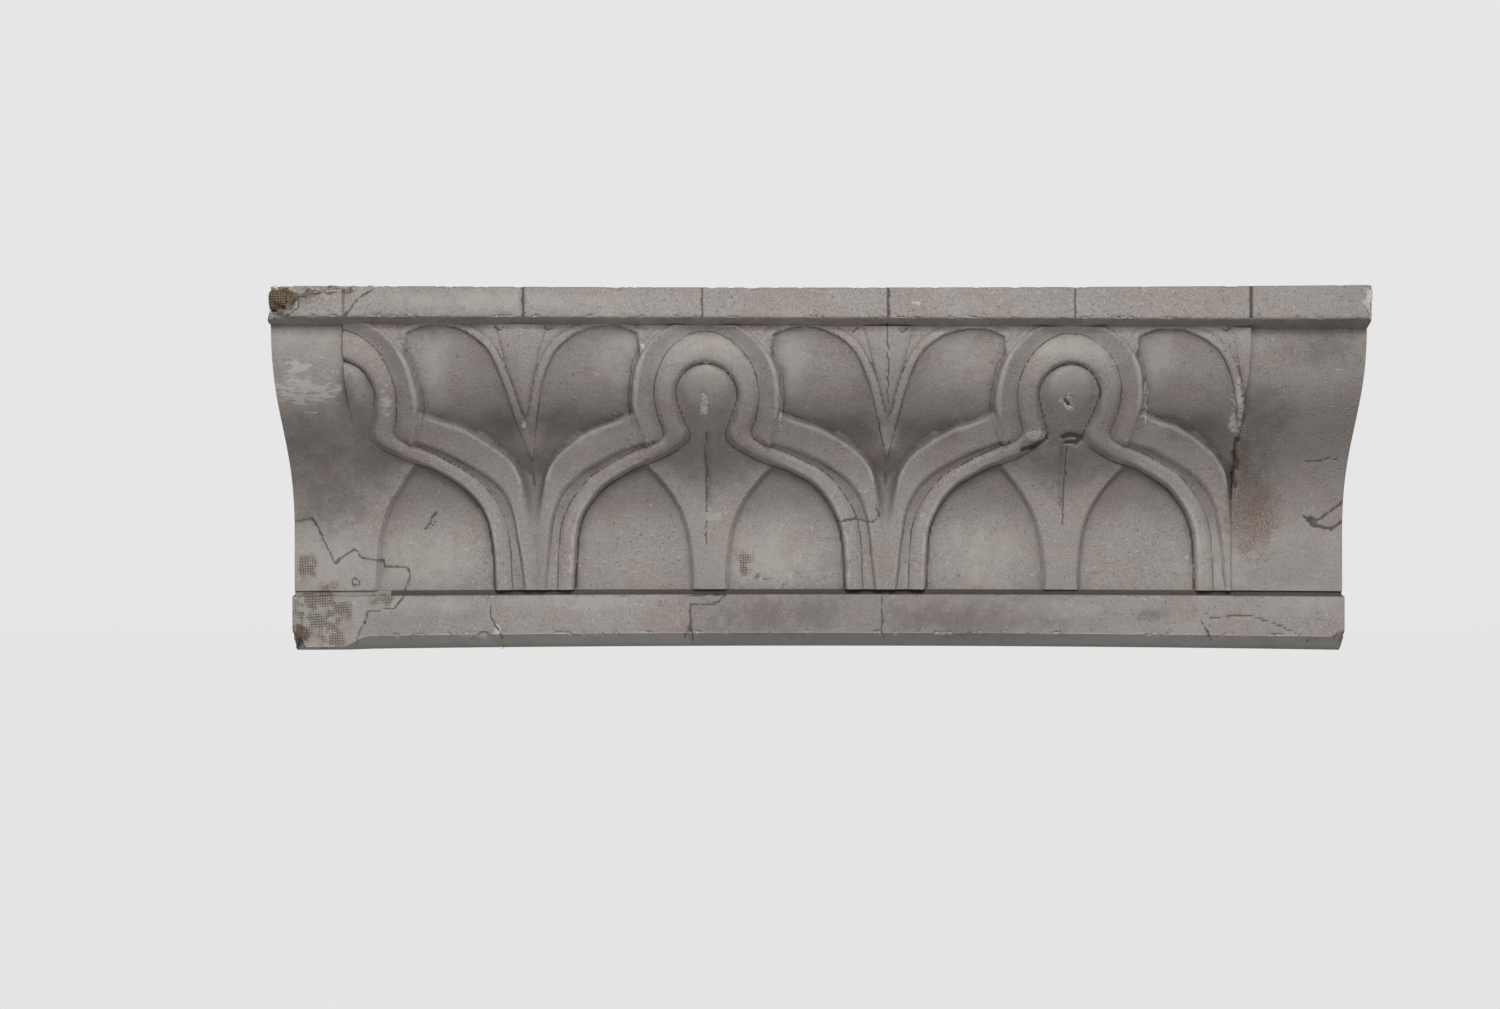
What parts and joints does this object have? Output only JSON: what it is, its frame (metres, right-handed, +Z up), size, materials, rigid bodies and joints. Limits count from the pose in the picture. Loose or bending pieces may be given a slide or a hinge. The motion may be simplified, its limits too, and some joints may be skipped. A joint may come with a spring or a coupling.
{
  "type": "plaster moulding panel with leaf ornament",
  "caption": "Straight length of painted plaster cornice moulding: square top fillet, cyma carved with stirrup leaves and darts, low bottom fillet, flat back, worn and chipped.",
  "frame": {"origin": "middle of the flat back", "axes": "+X along the moulding to the viewer's right, +Y into the wall (the carved face looks along -Y), +Z up"},
  "size_m": [1, 0.174, 0.34],
  "materials": {
    "painted_plaster": "matte grey paint, worn to white plaster on the chipped edges",
    "burlap": "coarse brown casting burlap, open weave"
  },
  "bodies": {
    "root": {"plaster_moulding": "painted_plaster", "burlap_bundle": "burlap"}
  },
  "joints": []
}
